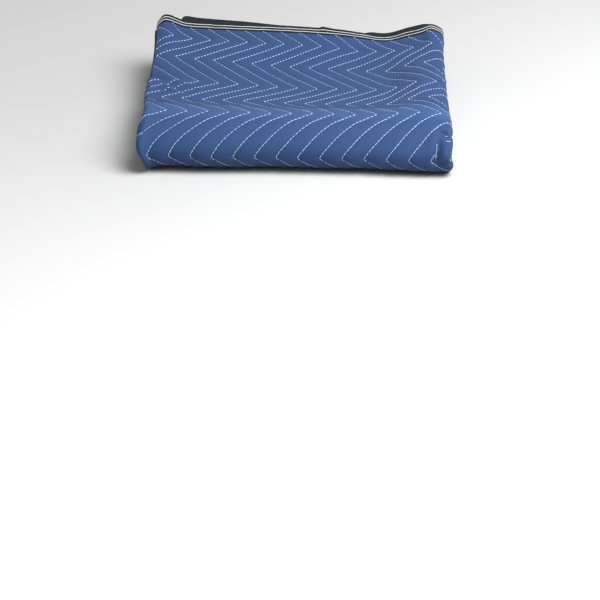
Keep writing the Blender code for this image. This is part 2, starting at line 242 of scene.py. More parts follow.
# %% [markdown]
# ## The settled heap
# Soft cloth doesn't lie square. SECTIONS gives the heap's reach to each side and the height of
# its top at eleven places across, from the roll to the back, in millimetres. A smooth curve
# runs through the table both ways, and the square pile is scaled to it. Three smaller tables
# say how far the roll bulges forward, how far the second layer's edge slides out and curls up
# behind the first, and how the layers shift sideways and tuck in at the left. A simulation
# could settle the pile too, but tables give the same heap each time and are quick to change.

# %% Describe the heap
FIELDS = (
    "edge_l", "crest_l", "bank_l", "middle", "brow", "slope",
    "dip", "bank_r", "brow_r", "crest_r", "edge_r",
)
PLACES = (-1.0, -0.92, -0.78, 0.0, 0.25, 0.40, 0.57, 0.76, 0.84, 0.905, 1.0)
Section = namedtuple("Section", ("behind", "left", "right", *FIELDS))
SECTIONS = [Section(*row) for row in (
    (0, 237, 230, 66, 70, 69, 66, 66, 66, 66, 66, 66, 66, 64),
    (40, 238, 231, 72, 75, 74, 71, 70, 70, 70, 72, 73, 72, 67),
    (75, 236, 231, 73, 78, 77, 73, 73, 73, 74, 77, 78, 77, 66),
    (170, 240, 230, 64, 67, 66, 58, 57, 57, 58, 68, 71, 70, 63),
    (265, 245, 231, 62, 66, 65, 53, 52, 51, 52, 64, 68, 67, 61),
    (360, 247, 233, 74, 78, 74, 58, 55, 53, 53, 65, 69, 68, 60),
    (455, 253, 235, 79, 87, 79, 69, 64, 59, 58, 65, 70, 77, 67),
    (497, 257, 237, 81, 94, 83.5, 75, 71, 67, 62, 71, 76, 83, 74),
    (519, 259, 238, 81, 102, 90, 81.5, 77, 72, 67, 79, 84, 88, 79),
)]

Front = namedtuple("Front", "place out")
FRONT_EASE = 0.4
FRONTS = [Front(*row) for row in (
    (-1.0, 1),
    (-0.5, 2),
    (0.0, 1),
    (0.4, 4),
    (0.87, 13),
    (1.0, 15),
)]

Slide = namedtuple("Slide", "along out up")
SLIDE_DEPTH = 110 * MM
CURL_DEPTH = 14 * MM
SLIDES = [Slide(*row) for row in (
    (0, 0, 0),
    (8, 2, 1),
    (30, 12, 5.5),
    (110, 12, 5),
    (140, 0, 0),
    (180, 0, 0),
    (260, 9, 3),
    (320, 12, 7),
    (389, 13, 9.5),
    (404, 13, 11),
    (409, 12, 9.5),
    (415, 4, 1),
    (434, 0, 0),
)]

Stagger = namedtuple("Stagger", "height shift tuck")
STAGGERS = [Stagger(*row) for row in (
    (0, 1.5, 11),
    (15, 2.5, 9),
    (30, -1.0, 4.7),
    (45, 0.6, 0.6),
    (61, 0, 9),
)]
TUCK_DEPTH = 180 * MM
print("sections of the heap:", len(SECTIONS))


# %% Run smooth curves through the tables
def column(rows, field):
    """One named column of a table in millimetres, in metres."""
    return np.array([getattr(row, field) for row in rows]) * MM


def ease(t):
    """A soft start and a soft end between 0 and 1."""
    return t * t * (3 - 2 * t)


def smooth(at, stations, values):
    """A curve through the values at the stations that never overshoots them."""
    stations = np.asarray(stations, dtype=float)
    rises = np.diff(values, axis=-1) / np.diff(stations)
    before, beyond = rises[..., :-1], rises[..., 1:]
    climbing = before * beyond > 0
    total = np.where(climbing, before + beyond, 1.0)
    inner = np.where(climbing, 2 * before * beyond / total, 0.0)
    slopes = np.concatenate((rises[..., :1], inner, rises[..., -1:]), axis=-1)
    after = np.clip(np.searchsorted(stations, at), 1, len(stations) - 1)
    width = stations[after] - stations[after - 1]
    t = np.clip((at - stations[after - 1]) / width, 0.0, 1.0)
    rows = np.arange(len(t))
    low, high = after - 1, after
    if values.ndim == 2:
        low, high = (rows, low), (rows, high)
    rise = ease(t)
    leave = t * (1 - t) ** 2 * width
    arrive = t * t * (t - 1) * width
    level = values[low] * (1 - rise) + values[high] * rise
    return level + slopes[low] * leave + slopes[high] * arrive


def read(rows, key, at, field):
    """One field of a table at points between its rows."""
    return smooth(at, column(rows, key), column(rows, field))


front = smooth(np.array([0.5]), [row.place for row in FRONTS], column(FRONTS, "out"))[0]
print("the roll bulges at its right half by mm:", round(front / MM, 1))

# %% [markdown]
# The first function sinks the square pile into the heap. The second slides one layer's edge.
# The third carries any point of the flat blanket all the way: slide, fold across, fold along,
# settle. The floor stops whatever would sink below it.

# %% Settle the square pile
def settle(x, y, z):
    """Let the square pile sink into the heap that SECTIONS describes."""
    half = PANEL_ACROSS / 2 + HALF_PACK
    place = np.clip(x / half, -1.0, 1.0)
    ahead = np.clip(ROLL_FRONT - y, 0.0, None)
    out = smooth(place, [front.place for front in FRONTS], column(FRONTS, "out"))
    y = np.where(ahead > 0, ROLL_FRONT - ahead * (1 + ROLL_STRETCH * ahead / ROLL), y)
    near = np.clip(ahead / (FRONT_EASE * ROLL), 0.0, 1.0)
    y = y - out * ease(near) * (1 - (z / FLAT_HEIGHT) ** 2)
    behind = np.clip(y, 0.0, SECTIONS[-1].behind * MM)
    heights = np.stack([read(SECTIONS, "behind", behind, field) for field in FIELDS], axis=1)
    top = smooth(place, PLACES, heights)
    level = np.clip(z, 0.0, FLAT_HEIGHT)
    front_end = ease(np.clip(1 - behind / TUCK_DEPTH, 0.0, 1.0))
    tuck = read(STAGGERS, "height", level, "tuck") * front_end
    left = (read(SECTIONS, "behind", behind, "left") - tuck) / half
    right = read(SECTIONS, "behind", behind, "right") / half
    x = x * np.where(x < 0, left, right) + read(STAGGERS, "height", level, "shift")
    return np.stack((x - HEAP_CENTRE[0], y - HEAP_CENTRE[1], z * top / FLAT_HEIGHT), axis=1)


def second_layer(u, v):
    """How far the second layer's edge slides out behind the top one, and curls up there."""
    along = u - ACROSS[2].start
    there = (along > 0) & (along < SLIDES[-1].along * MM)
    out = np.where(there, read(SLIDES, "along", along, "out"), 0.0)
    up = np.where(there, read(SLIDES, "along", along, "up"), 0.0)
    fade = np.clip(1 - v / SLIDE_DEPTH, 0.0, 1.0)
    curl = np.clip(1 - v / CURL_DEPTH, 0.0, 1.0)
    return out * fade**2, up * curl**1.5


def folded(u, v, w):
    """Points of the flat blanket, carried into the folded one; the floor presses it flat."""
    out, up = second_layer(u, v)
    x, level, heading = walk(ACROSS, u)
    x = x - np.sin(heading) * w
    level = level + np.cos(heading) * w
    y, z, heading = walk(ALONG, v - out)
    points = settle(x, y + np.sin(heading) * level, z - np.cos(heading) * level)
    points[:, 2] = np.maximum(points[:, 2] + up, 0.0)
    return points


def folded_points(u, v, w):
    """The same for arrays of any shape, such as many small meshes at once."""
    return folded(u.ravel(), v.ravel(), w.ravel()).reshape(*u.shape, 3)


crest = folded(np.array([SHOWN_MIDDLE]), np.array([0.0]), np.array([CLOTH / 2]))[0]
print("back edge of the top, middle, in mm:", np.round(crest / MM, 1))

# %% [markdown]
# ## The quilting
# The lines of quilting are zigzags that run from the back edge over the roll. They are laid
# out by the length on the cloth itself, so their rows stay evenly spaced where the cloth
# climbs over a crest. Two helpers turn that length into the flat blanket's v and back. The
# lines fan out a little towards the roll, and round it the pulled cloth bows them.

# %% Measure the shown face
V_STEPS = 600
V_GRID = np.linspace(0.0, ROLL_END, V_STEPS)
middle_line = folded(np.full_like(V_GRID, SHOWN_MIDDLE), V_GRID, np.full_like(V_GRID, CLOTH / 2))
RUN_GRID = np.concatenate(([0.0], np.cumsum(np.hypot(*np.diff(middle_line[:, 1:], axis=0).T))))


def run_along(v):
    """The length along the shown face from the bound edge to v; plain v beyond the roll."""
    past = np.clip(v - ROLL_END, 0.0, None)
    return np.interp(v, V_GRID, RUN_GRID) + past


def row_at(run):
    """The v of a point at a given length along the shown face."""
    past = np.clip(run - RUN_GRID[-1], 0.0, None)
    return np.interp(run, RUN_GRID, V_GRID) + past


def spread(v, side):
    """How much wider the heap is than the square pile, on one side, at v."""
    half = PANEL_ACROSS / 2 + HALF_PACK
    seen = np.clip(v, 0.0, ROLL_END)
    y = np.interp(seen, V_GRID, middle_line[:, 1]) + HEAP_CENTRE[1]
    behind = np.clip(y, 0.0, SECTIONS[-1].behind * MM)
    left, right = (read(SECTIONS, "behind", behind, field) for field in ("left", "right"))
    return np.where(side < 0, left, right) / half


print("length over the top and round the roll, in mm:", round(RUN_GRID[-1] / MM))


# %% Lay out the zigzags
def zigzag(run):
    """The swing of a line: to the right at the first row, to the left at the next."""
    phase = (run - FIRST_ROW) / (2 * QUILT_ROW)
    return QUILT_SWING * (0.5 - 2 * np.abs(phase - np.round(phase)))


def fan(run):
    """Where the middle line runs without its swing, and how far apart the lines are."""
    rows = (run - FIRST_ROW) / QUILT_ROW
    pulled = np.clip((run - PULL_START) / (PULL_END - PULL_START), 0.0, 1.0)
    middle = QUILT_OFFSET - QUILT_DRIFT * rows - PULL_ASIDE * pulled
    middle = middle - 4 * BOW * pulled * (1 - pulled)
    return middle, QUILT_PITCH + QUILT_FAN * rows + PULL_WIDER * pulled


def line_across(run, number):
    """How far line `number` lies to the right of the middle; fractions lie between the lines."""
    middle, pitch = fan(run)
    return middle + number * pitch + zigzag(run)


def line_at(v, number):
    """The u at which line `number` crosses v."""
    offset = line_across(run_along(v), number)
    return SHOWN_MIDDLE + offset / spread(v, np.sign(offset))


def across_of(u, v):
    """How far a point lies to the right of the middle, on the settled cloth."""
    return (u - SHOWN_MIDDLE) * spread(v, np.sign(u - SHOWN_MIDDLE))


def apart(u, v):
    """How far a point is from the nearest line: 0 on it, 1 halfway to the next."""
    run = run_along(v)
    middle, pitch = fan(run)
    phase = (across_of(u, v) - middle - zigzag(run)) / pitch
    return 2 * np.abs(phase - np.round(phase))


pitches = [round(float(fan(run)[1]) / MM, 1) for run in (FIRST_ROW, RUN_GRID[-1])]
print("lines apart in mm, at the back and under the roll:", pitches)

# %% [markdown]
# ## Wrinkles
# The padding puffs up between the lines and the seams draw it in. On top of that the cloth
# is uneven: a few long shallow waves, a bulge of the left fold, and creases placed one by one.
# A crease is a soft trough or ridge with a place, a length, a width, a turn and a height. All
# this could be sculpted by hand, but as sums it can be read, measured and moved.

# %% Shape the shown face
Crease = namedtuple("Crease", "across run long wide turn high")
CREASES = [Crease(*row) for row in (
    (-222, 254, 30, 6, 45, -2.8),
    (-186, 283, 62, 7, 48, 2.6),
    (-202, 295, 90, 6.5, 58, -3.0),
    (-205, 307, 58, 5, 51, 1.8),
    (-209, 323, 42, 5.5, 36, -2.2),
    (-176, 300, 54, 6, 48, -1.6),
    (-216, 395, 34, 4, 4, -2.6),
    (-216, 44, 40, 4, 84, -3.0),
    (205, 60, 60, 14, 70, -1.6),
    (150, 90, 90, 20, 60, 1.2),
    (217, 505, 11, 4, 35, -9.0),
    (209, 527, 46, 4.5, 93, -3.2),
    (200, 522, 46, 5.5, 98, 1.2),
    (219, 527, 34, 7, 92, 2.6),
    (219, 550, 28, 5, 2, -3.2),
)]
WAVE_HEIGHTS = (0.35, 0.30, 0.20)
BULGE = 4.0 * MM
BULGE_FROM = 246 * MM
BULGE_EASE = 12 * MM
BULGE_REACH = 9 * MM
SIDE_FADE = 4 * MM
TAPE_FADE = 14 * MM
ROLL_FADE = 6 * MM
THICKENING = 7 * MM


def creased(u, v):
    """The height of every crease together, at points of the shown face."""
    across = across_of(u, v)
    run = run_along(v)
    total = np.zeros_like(u)
    for crease in CREASES:
        turn = math.radians(crease.turn)
        aside, behind = across - crease.across * MM, run - crease.run * MM
        along = aside * math.cos(turn) + behind * math.sin(turn)
        off = behind * math.cos(turn) - aside * math.sin(turn)
        shape = np.exp(-((along / (crease.long * MM / 2)) ** 2) - (off / (crease.wide * MM)) ** 2)
        total += crease.high * MM * shape
    return total


def waves(u, v):
    """Long shallow waves across, along and aslant, of lengths that never fall in step."""
    a, b = u / MM, v / MM
    return MM * (
        WAVE_HEIGHTS[0] * np.sin(a / 23 + 1.7 * np.sin(b / 61))
        + WAVE_HEIGHTS[1] * np.sin(b / 17 + 1.3 * np.sin(a / 47) + 1.0)
        + WAVE_HEIGHTS[2] * np.sin((a + b) / 11 + 2.0)
    )


def bulged(u, v):
    """The left fold puffs out where it isn't held back by the tape beneath."""
    run = run_along(v)
    middle = (ACROSS[3].start + ACROSS[4].start) / 2
    start = np.clip((run - BULGE_FROM) / BULGE_EASE, 0.0, 1.0)
    return BULGE * start * np.exp(-(((u - middle) / BULGE_REACH) ** 2))


def lift(u, v):
    """How far the shown face stands over the plain cloth."""
    puff = (PUFF + SEAM_DIP) * (1 - (1 - apart(u, v)) ** 3) - SEAM_DIP
    fade = np.clip(np.minimum(u - SHOWN_FROM, SHOWN_TO - u) / SIDE_FADE, 0.0, 1.0)
    fade *= np.clip((v - TAPE_WIDTH) / TAPE_FADE, 0.0, 1.0)
    fade *= np.clip((ROLL_END - v) / ROLL_FADE, 0.0, 1.0)
    return (puff + waves(u, v) + creased(u, v) + bulged(u, v)) * fade


def half_thickness(u, v):
    """Half the cloth's thickness: pressed flat under the tape, full a little way in."""
    edge = np.minimum(np.minimum(u, WIDTH - u), np.minimum(v, LENGTH - v))
    grown = np.clip((edge - TAPE_WIDTH - GAP) / THICKENING, 0.0, 1.0)
    return PRESSED / 2 + (CLOTH - PRESSED) / 2 * ease(grown)


print("creases placed:", len(CREASES))

# %% [markdown]
# ## The cloth
# A grid of the flat blanket is made fine where it shows and coarser where it is hidden, given
# its thickness, and cut along the quilting: on each line, beside it and halfway to the next.
# The cuts are straight and short, band by band, so every seam has its own row of points.
# Only then is the whole mesh folded, in one go, and its flat place is kept as a UV map. The
# wrinkles, the corner's tuck and the steep part of the second layer's slide need the most
# lines. A plain even grid would need many times the faces for the same seams.

# %% Choose the grid lines
BAND = 24 * MM
ROWS_IN_BAND = 3
ROWS_ON_ROLL = 4
ROWS_IN_WRINKLES = 5
WRINKLED_RUNS = ((215 * MM, 350 * MM), (488 * MM, 530 * MM))
FINE_ACROSS = (211, 215, 219)
FINE_SLIDES = (396, 406, 412)
ACROSS_STEPS = (24, 8, 24, 8, 56, 12, 24)
ALONG_STEPS = (24, 10, 24, 10, 24)
QUILT_START = TAPE_WIDTH + GAP
UNDER_TAPE = (TAPE + GAP, TAPE_WIDTH / 2, QUILT_START)
NEAR_EDGE = (*UNDER_TAPE, QUILT_START + THICKENING / 2, QUILT_START + THICKENING)
CLEAR = 2 * MM
DIGITS = 7


def tidy(lines):
    """Sorted lines, rounded so that the same line is the same number everywhere."""
    return sorted({round(float(line), DIGITS) for line in lines})


def eased(count):
    """Steps from 0 to 1 that are closer together near both ends."""
    even = np.linspace(0.0, 1.0, count + 1)
    return (even + 0.5 - 0.5 * np.cos(math.pi * even)) / 2


def grid_lines(stretches, steps, total, shown=()):
    """Lines of the grid: the tape's own at both ends, then steps in every stretch."""
    inner = list(shown)
    for stretch, count in zip(stretches, steps):
        inner += [stretch.start + stretch.length * part for part in eased(count)]
    clear = NEAR_EDGE[-1] + CLEAR
    inner = [line for line in inner if clear < line < total - clear]
    return tidy([*NEAR_EDGE, *[total - end for end in NEAR_EDGE], *inner])


last_row = int((RUN_GRID[-1] - FIRST_ROW) / QUILT_ROW)
turns = FIRST_ROW + QUILT_ROW * np.arange(last_row + 1)
marks = [float(run_along(QUILT_START)), *turns, RUN_GRID[-1]]
band_runs = marks[:1]
for low, high in zip(marks, marks[1:]):
    band_runs += list(np.linspace(low, high, math.ceil((high - low) / BAND) + 1)[1:])
bands = tidy(row_at(np.array(band_runs)))
shown_rows = []
for low, high in zip(bands, bands[1:]):
    count = ROWS_ON_ROLL if high > ALONG[1].start else ROWS_IN_BAND
    middle_run = run_along((low + high) / 2)
    if any(start < middle_run < end for start, end in WRINKLED_RUNS):
        count = ROWS_IN_WRINKLES
    shown_rows += list(np.linspace(low, high, count + 1))
fine = [ACROSS[2].start + along * MM for along in FINE_SLIDES]
fine += [SHOWN_MIDDLE + across * MM for across in FINE_ACROSS]
u_lines = grid_lines(ACROSS, ACROSS_STEPS, WIDTH, fine)
v_lines = grid_lines(ALONG[2:], ALONG_STEPS, LENGTH, shown_rows)
print("grid:", len(u_lines), "by", len(v_lines), "lines;", len(bands) - 1, "bands")

# %% [markdown]
# The flat cloth is one grid, given its thickness by solidify. Over the shown face a window is
# left open, so that the face can be cut apart from the rest. Solidify keeps the two sides
# and the rim in one closed mesh, which a pair of grids would not.

# %% Make the flat cloth, with a window where it shows
def flat_grid(u_stops, v_stops, height):
    """A flat grid with its lines at the given stops."""
    bm = bmesh.new()
    columns, rows = len(u_stops) - 1, len(v_stops) - 1
    bmesh.ops.create_grid(bm, x_segments=columns, y_segments=rows, size=0.5)
    for vert in bm.verts:
        vert.co.x = u_stops[round((vert.co.x + 0.5) * columns)]
        vert.co.y = v_stops[round((vert.co.y + 0.5) * rows)]
        vert.co.z = height
    return bm


def inside(face, u_stops, v_stops):
    """Whether a face lies within the first and last of both lists of stops."""
    middle = face.calc_center_median()
    return u_stops[0] < middle.x < u_stops[-1] and v_stops[0] < middle.y < v_stops[-1]


cloth_bm = flat_grid(u_lines, v_lines, CLOTH / 2)
bmesh.ops.solidify(cloth_bm, geom=cloth_bm.faces[:], thickness=CLOTH)
first = u_lines.index(round(SHOWN_FROM, DIGITS))
last = u_lines.index(round(SHOWN_TO, DIGITS))
shown_u = u_lines[first:last + 1]
window_u = u_lines[first - 1:last + 2]
window_v = v_lines[v_lines.index(bands[0]) - 1:v_lines.index(bands[-1]) + 2]
window = [face for face in cloth_bm.faces if face.calc_center_median().z > CLOTH / 4]
window = [face for face in window if inside(face, window_u, window_v)]
bmesh.ops.delete(cloth_bm, geom=window, context="FACES")
print("flat cloth:", len(cloth_bm.faces), "faces round the window")

# %% [markdown]
# The window is filled band by band. Each band is a small grid of its own, so that its many
# cuts are quick, with a rim of faces round it that take up the odd points where cuts end.
# Where two cuts nearly meet at a turn, welding can leave a small hole, which is filled.

# %% Fill the window with bands cut along the quilting
BESIDE = (0.0, 0.035, 0.085, 0.16, 0.28, 0.50)
CUT_SNAP = 0.001 * MM
WELD = 0.005 * MM
LARGEST_HOLE = 8


def cut(bm, faces, start, end):
    """Cut faces along the straight line between two (u, v) points of the flat cloth."""
    edges = {edge for face in faces for edge in face.edges}
    verts = {vert for face in faces for vert in face.verts}
    result = bmesh.ops.bisect_plane(
        bm,
        geom=[*verts, *edges, *faces],
        dist=CUT_SNAP,
        plane_co=(start[0], start[1], CLOTH / 2),
        plane_no=(end[1] - start[1], start[0] - end[0], 0.0),
    )
    return [item for item in result["geom"] if isinstance(item, bmesh.types.BMFace)]


def cut_band(bm, faces, low, high, numbers):
    """Cut one band along its quilting lines, from left to right."""
    waiting = sorted(faces, key=lambda face: -min(vert.co.x for vert in face.verts))
    lows = line_at(np.full(len(numbers), low), numbers)
    highs = line_at(np.full(len(numbers), high), numbers)
    reached = []
    for at_low, at_high in zip(lows, highs):
        near, far = min(at_low, at_high), max(at_low, at_high)
        if far < SHOWN_FROM or near > SHOWN_TO:
            continue
        while waiting and min(vert.co.x for vert in waiting[-1].verts) < far:
            reached.append(waiting.pop())
        reached = [face for face in reached if max(vert.co.x for vert in face.verts) > near]
        if reached:
            reached = cut(bm, reached, (at_low, low), (at_high, high))


reach = math.ceil((PANEL_ACROSS / 2 + QUILT_SWING) / QUILT_PITCH)
lines = range(-reach, reach + 1)
cuts = [line + side * part for line in lines for side in (-1, 1) for part in BESIDE]
numbers = np.array(sorted({round(number, 4) for number in cuts}))
scratch = bpy.data.meshes.new("scratch")
for low, high in zip(bands, bands[1:]):
    start = v_lines.index(low) - (low == bands[0])
    stop = v_lines.index(high) + (high == bands[-1])
    patch = flat_grid(window_u, v_lines[start:stop + 1], CLOTH / 2)
    shown = [face for face in patch.faces if inside(face, shown_u, (low, high))]
    cut_band(patch, shown, low, high, numbers)
    patch.to_mesh(scratch)
    patch.free()
    cloth_bm.from_mesh(scratch)
bpy.data.meshes.remove(scratch)
bmesh.ops.remove_doubles(cloth_bm, verts=cloth_bm.verts[:], dist=WELD)
holes = [edge for edge in cloth_bm.edges if edge.is_boundary]
bmesh.ops.holes_fill(cloth_bm, edges=holes, sides=LARGEST_HOLE)
bmesh.ops.triangulate(cloth_bm, faces=[face for face in cloth_bm.faces if len(face.verts) > 4])
open_edges = sum(not edge.is_manifold for edge in cloth_bm.edges)
print("cut cloth:", len(cloth_bm.faces), "faces,", open_edges, "open edges")

# %% [markdown]
# A finished flat mesh is folded the same way whatever it is: its flat place goes into a UV
# map, and every point is carried through the folds. The object itself stays at the origin.

# %% Fold the cloth
UV_SPAN = 2.05


def place_mesh(bm, name, place, chart):
    """Make a bmesh an object: `place` moves its points, `chart` gives their UV."""
    mesh = bpy.data.meshes.new(name)
    bmesh.ops.recalc_face_normals(bm, faces=bm.faces[:])
    bm.to_mesh(mesh)
    bm.free()
    flat = np.empty(len(mesh.vertices) * 3)
    mesh.vertices.foreach_get("co", flat)
    flat = flat.reshape(-1, 3)
    corners = np.empty(len(mesh.loops), dtype=np.int32)
    mesh.loops.foreach_get("vertex_index", corners)
    mesh.uv_layers.new(name="flat").data.foreach_set("uv", chart(*flat.T)[corners].ravel())
    mesh.vertices.foreach_set("co", place(*flat.T).ravel())
    mesh.shade_smooth()
    mesh.update()
    piece = add_object(name, mesh)
    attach(piece, "root")
    return piece


def triangles(piece):
    """How many triangles a mesh piece has."""
    return sum(len(polygon.vertices) - 2 for polygon in piece.data.polygons)


def place_cloth(u, v, w):
    """Where the cloth's points go: its shown face is lifted by the padding."""
    shown = (w > 0) & (u > SHOWN_FROM) & (u < SHOWN_TO) & (v < ROLL_END)
    height = half_thickness(u, v) + np.where(shown, lift(u, v), 0.0)
    return folded(u, v, np.sign(w) * height)


def chart_cloth(u, v, w):
    """The flat blanket, fitted into the unit square."""
    return np.stack((u, v), axis=1) / UV_SPAN


cloth = place_mesh(cloth_bm, "quilted_sheet", place_cloth, chart_cloth)
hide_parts("quilted_cloth")
print("cloth:", triangles(cloth), "triangles")

# %% [markdown]
# ## The thread
# A machine quilts with a lock stitch, so the thread shows as a row of short dashes. Each
# dash is one small spindle: a tiny sphere drawn long, with a few dozen faces. The spindles
# lie in the seams and are made in one mesh from arrays, because there are thousands. A swept
# curve would give the same row, but its mesh would be far heavier.

# %% Make one spindle
STITCH = 7.0 * MM
STITCH_LOOSE = (4.8 * MM, 1.1 * MM, 1.1 * MM)
STITCH_TIGHT = (6.2 * MM, 1.0 * MM, 0.8 * MM)
STITCH_PULLED = (6.8 * MM, 0.95 * MM, 1.0 * MM)
PULLED_FROM = 462 * MM

spindle_bm = bmesh.new()
bmesh.ops.create_uvsphere(spindle_bm, u_segments=6, v_segments=6, radius=0.5)
bmesh.ops.rotate(spindle_bm, verts=spindle_bm.verts, matrix=Matrix.Rotation(math.pi / 2, 3, "Y"))
spindle_bm.verts.index_update()
SPINDLE = np.array([vert.co[:] for vert in spindle_bm.verts])
SPINDLE_FACES = [[vert.index for vert in face.verts] for face in spindle_bm.faces]
spindle_bm.free()
print("one spindle:", len(SPINDLE), "points and", len(SPINDLE_FACES), "faces")


def repeat_spindle(name, points):
    """One mesh of many spindles, from their points in an array (spindle, point, xyz)."""
    count = len(points)
    steps = np.arange(count)[:, None] * len(SPINDLE)
    corners = np.concatenate([np.array(face) + steps for face in SPINDLE_FACES], axis=1).ravel()
    sizes = np.tile([len(face) for face in SPINDLE_FACES], count)
    starts = np.concatenate(([0], np.cumsum(sizes)[:-1]))
    mesh = bpy.data.meshes.new(name)
    mesh.vertices.add(count * len(SPINDLE))
    mesh.vertices.foreach_set("co", points.ravel())
    mesh.loops.add(len(corners))
    mesh.loops.foreach_set("vertex_index", corners.astype(np.int32))
    mesh.polygons.add(len(sizes))
    mesh.polygons.foreach_set("loop_start", starts.astype(np.int32))
    mesh.update(calc_edges=True)
    mesh.validate()
    mesh.shade_smooth()
    piece = add_object(name, mesh)
    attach(piece, "root")
    return piece


# %% [markdown]
# ### Where the stitches lie
# Each straight leg of a zigzag holds a whole number of stitches, as a machine's do that turns
# with its needle down. Only the stitches on the shown face and in its two folds are kept,
# since the others are hidden between the layers. The slope of the line gives each its turn.

# %% Lay the stitches along the quilting
SIDE_MARGIN = 2 * MM
FIRST_STITCH = 0.9 * TAPE_WIDTH
SEED = 12
rng = np.random.default_rng(SEED)

per_leg = round(math.hypot(QUILT_ROW, QUILT_SWING) / STITCH)
run_low, run_high = run_along(FIRST_STITCH), run_along(LENGTH - TAPE_WIDTH)
knots = np.arange(-1, math.ceil((run_along(LENGTH) - FIRST_ROW) / QUILT_ROW) + 1)
stitch_rows = knots[:, None] + (np.arange(per_leg) + 0.5) / per_leg
stitch_run = (FIRST_ROW + QUILT_ROW * stitch_rows).ravel()
stitch_run = stitch_run[(stitch_run > run_low) & (stitch_run < run_high)]
run_at, line_no = (grid.ravel() for grid in np.meshgrid(stitch_run, lines))
v_at = row_at(run_at)
u_at = line_at(v_at, line_no)
on_side = (u_at < ACROSS[4].start) | (u_at > ACROSS[5].start)
kept = (u_at > SHOWN_FROM + SIDE_MARGIN) & (u_at < SHOWN_TO - SIDE_MARGIN)
kept &= (v_at < ROLL_END) | on_side
u_at, v_at, run_at, line_no = u_at[kept], v_at[kept], run_at[kept], line_no[kept]
across_at = across_of(u_at, v_at)
slope = (line_across(run_at + MM, line_no) - line_across(run_at - MM, line_no)) / (2 * MM)
way = np.sign(slope)
turn = np.arctan2(1.0, slope)
print("stitches along the lines:", len(u_at))

# %% [markdown]
# ### Stitches in the tuck
# At the roll's right end the cloth is tucked in. The last line runs into that tuck: its
# stitches are hidden at first and then come down along it, and three more show beyond it.
# They are few and each is turned its own way, so they are placed one by one.

# %% Bend the stitches into the corner's tuck
TuckStitch = namedtuple("TuckStitch", "across run turn")
TUCK_STITCHES = [TuckStitch(*row) for row in (
    (222.2, 506.0, -25),
    (223.4, 515.7, -6),
    (228.0, 546.0, 74),
)]
TUCK_ACROSS = 207 * MM
TUCK_FROM = 504 * MM
TUCK_SEEN = 521 * MM
TUCK_TO = 541 * MM
TURN_JITTER = math.radians(2.5)

tucked = (across_at > TUCK_ACROSS) & (run_at > TUCK_FROM) & (run_at < TUCK_TO)
across_at = np.where(tucked, TUCK_ACROSS, across_at)
turn = np.where(tucked, math.pi / 2, turn) + rng.normal(0.0, TURN_JITTER, len(turn))
seen = ~(tucked & (run_at < TUCK_SEEN))
across_at = np.concatenate((across_at[seen], column(TUCK_STITCHES, "across")))
run_at = np.concatenate((run_at[seen], column(TUCK_STITCHES, "run")))
turn = np.concatenate((turn[seen], np.radians([tuck.turn for tuck in TUCK_STITCHES])))
way = np.concatenate((way[seen], np.ones(len(TUCK_STITCHES))))
v_at = row_at(run_at)
u_at = SHOWN_MIDDLE + across_at / spread(v_at, np.sign(across_at))
print("stitches bent or added at the tuck:", int(tucked.sum()) + len(TUCK_STITCHES))

# %% [markdown]
# ### The shape of a stitch
# The machine pulls the thread tighter on one leg of the zigzag than on the other, and over
# the roll the stretched cloth draws the dashes out until they nearly join. Each spindle gets
# its size, its turn and its place, and is then folded with the cloth, so that it bends too.

# %% Shape every stitch
THREAD_LIFT = 0.45 * MM
SHORTEST, LONGEST = 0.92, 1.06

scale = np.where(way[:, None] < 0, STITCH_LOOSE, STITCH_TIGHT)
scale = np.where(run_at[:, None] > PULLED_FROM, STITCH_PULLED, scale)
scale = scale * rng.uniform(SHORTEST, LONGEST, (len(way), 1))
local = SPINDLE[None, :, :] * scale[:, None, :]
cosine, sine = np.cos(turn)[:, None], np.sin(turn)[:, None]
out = across_at[:, None] + local[..., 0] * cosine - local[..., 1] * sine
down = run_at[:, None] + local[..., 0] * sine + local[..., 1] * cosine
v_points = row_at(down)
u_points = SHOWN_MIDDLE + out / spread(v_points.ravel(), np.sign(out).ravel()).reshape(out.shape)
seam = (half_thickness(u_at, v_at) + lift(u_at, v_at) * (v_at < ROLL_END))[:, None]
w_points = seam + THREAD_LIFT + local[..., 2]
stitch_points = folded_points(u_points, v_points, w_points)
print("stitches:", len(u_at))

# %% [markdown]
# ### Down on the cloth
# The cloth's faces are flat between their points, so in a sharp wrinkle a stitch could sink
# in or float. A ray sent back from outside finds the real face, and the stitch moves there.
# A hit further off than MOST_DROP belongs to another layer of cloth and isn't used.

# %% Set every stitch down on the cloth
FEEL = 3 * MM
MOST_DROP = 1.6 * MM
centres = folded(u_at, v_at, seam[:, 0])
outward = folded(u_at, v_at, seam[:, 0] + FEEL) - centres
cloth_tree = BVHTree.FromObject(cloth, bpy.context.evaluated_depsgraph_get())
drop = np.zeros_like(centres)
for index, (centre, away) in enumerate(zip(centres, outward)):
    spot = cloth_tree.ray_cast(Vector(centre + away), Vector(-away), 2 * FEEL)[0]
    if spot is not None and (spot - Vector(centre)).length < MOST_DROP:
        drop[index] = np.array(spot) - centre
thread = repeat_spindle("quilting_thread", stitch_points + drop[:, None, :])
print("stitch triangles:", triangles(thread))
print("largest drop in mm:", round(float(np.abs(drop).max()) / MM, 2))

# %% [markdown]
# ## The tape
# A strong tape is folded over every edge and sewn through with two rows of pale thread.
# It is a strip, so it starts as a grid: one way across the tape, from its top hem round the
# edge to its under hem, and the other way along the edge. Its points are then bent into a
# U and folded with the cloth. The sewing puckers the tape between its rows, and in one place
# it drew the outer edge up into a small nick. Sweeping a profile along a curve would make
# the U as well, but wouldn't follow the folds.

